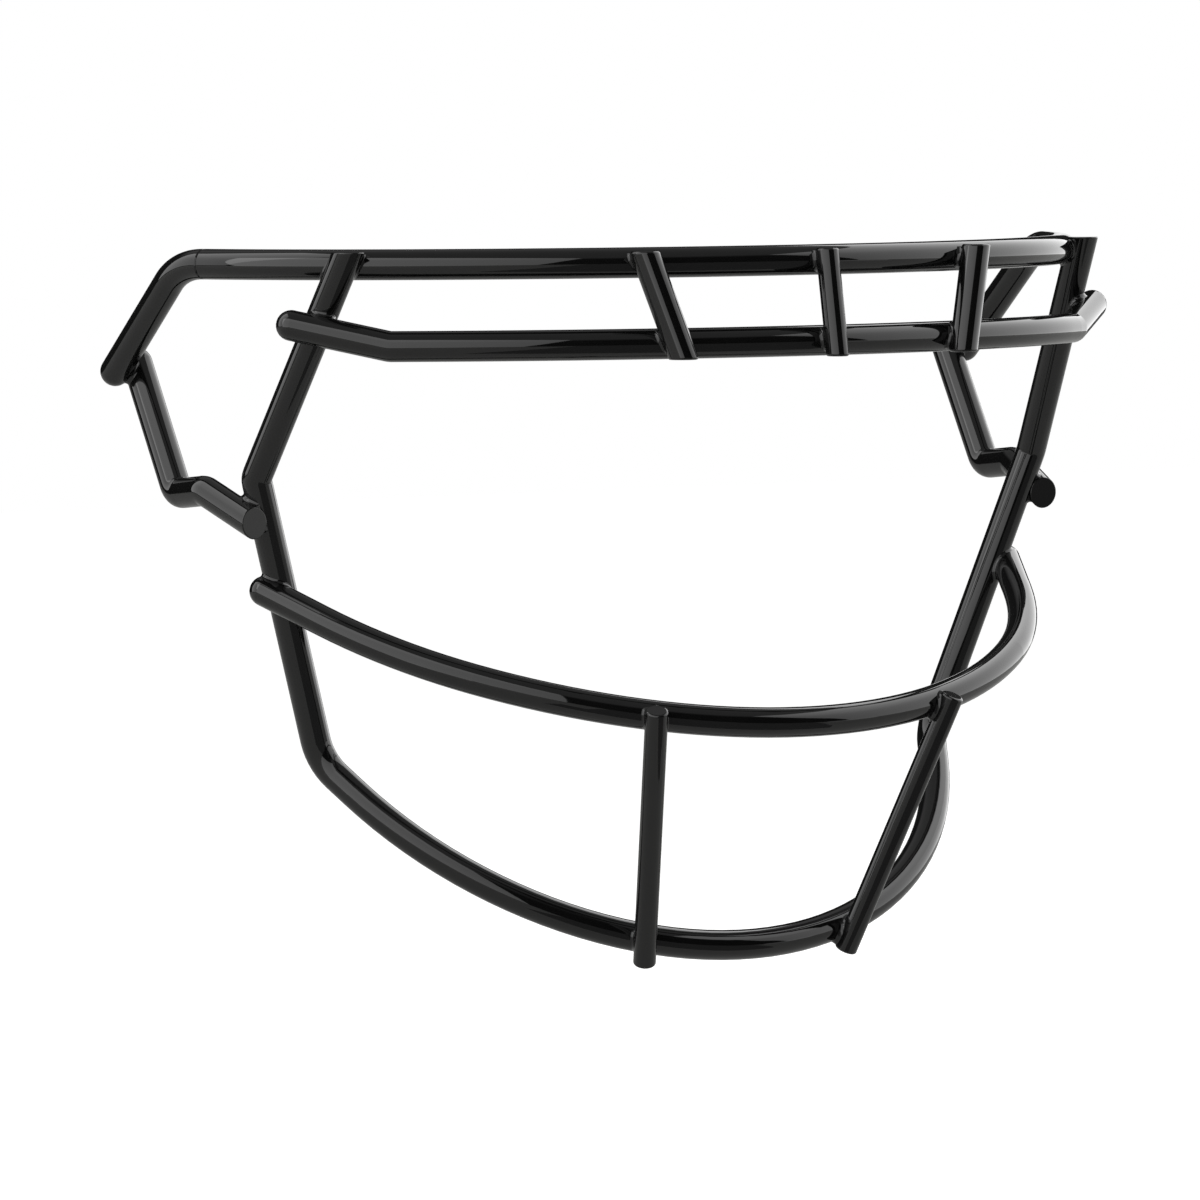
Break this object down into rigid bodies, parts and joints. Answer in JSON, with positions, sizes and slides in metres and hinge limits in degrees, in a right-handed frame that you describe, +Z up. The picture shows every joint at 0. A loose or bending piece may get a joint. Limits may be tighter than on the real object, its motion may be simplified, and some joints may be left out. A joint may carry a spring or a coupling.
{
  "type": "football helmet facemask",
  "caption": "Welded wire face guard for a football helmet: bowed brow, visor, mouth and chin bars, short struts and side loops, gloss black coating.",
  "frame": {"origin": "on the axis of the brow bar at the middle of the mask, where the helmet's front clips hold it", "axes": "+X across the face (right side of the mask as seen from in front), +Y back towards the helmet, +Z up as worn"},
  "size_m": [0.2234, 0.1143, 0.1505],
  "materials": {
    "coated_wire": "gloss",
    "weld_bead": "gloss"
  },
  "bodies": {
    "root": {"brow_bar": "coated_wire", "brow_strut_left": "coated_wire", "brow_strut_middle": "coated_wire", "brow_strut_right": "coated_wire", "chin_hoop": "coated_wire", "chin_strut_left": "coated_wire", "chin_strut_right": "coated_wire", "mouth_bar": "coated_wire", "side_loop_left": "coated_wire", "side_loop_right": "coated_wire", "visor_bar": "coated_wire", "weld_brow_hoop_left": "weld_bead", "weld_brow_hoop_right": "weld_bead", "weld_brow_strut_left": "weld_bead", "weld_brow_strut_middle": "weld_bead", "weld_brow_strut_right": "weld_bead", "weld_chin_strut_left": "weld_bead", "weld_chin_strut_right": "weld_bead", "weld_loop_drop_left": "weld_bead", "weld_loop_drop_right": "weld_bead", "weld_loop_hoop_left": "weld_bead", "weld_loop_hoop_right": "weld_bead", "weld_mouth_hoop_left": "weld_bead", "weld_mouth_hoop_right": "weld_bead", "weld_mouth_strut_left": "weld_bead", "weld_mouth_strut_right": "weld_bead", "weld_visor_hoop_left": "weld_bead", "weld_visor_hoop_right": "weld_bead", "weld_visor_strut_left": "weld_bead", "weld_visor_strut_middle": "weld_bead", "weld_visor_strut_right": "weld_bead"}
  },
  "joints": []
}
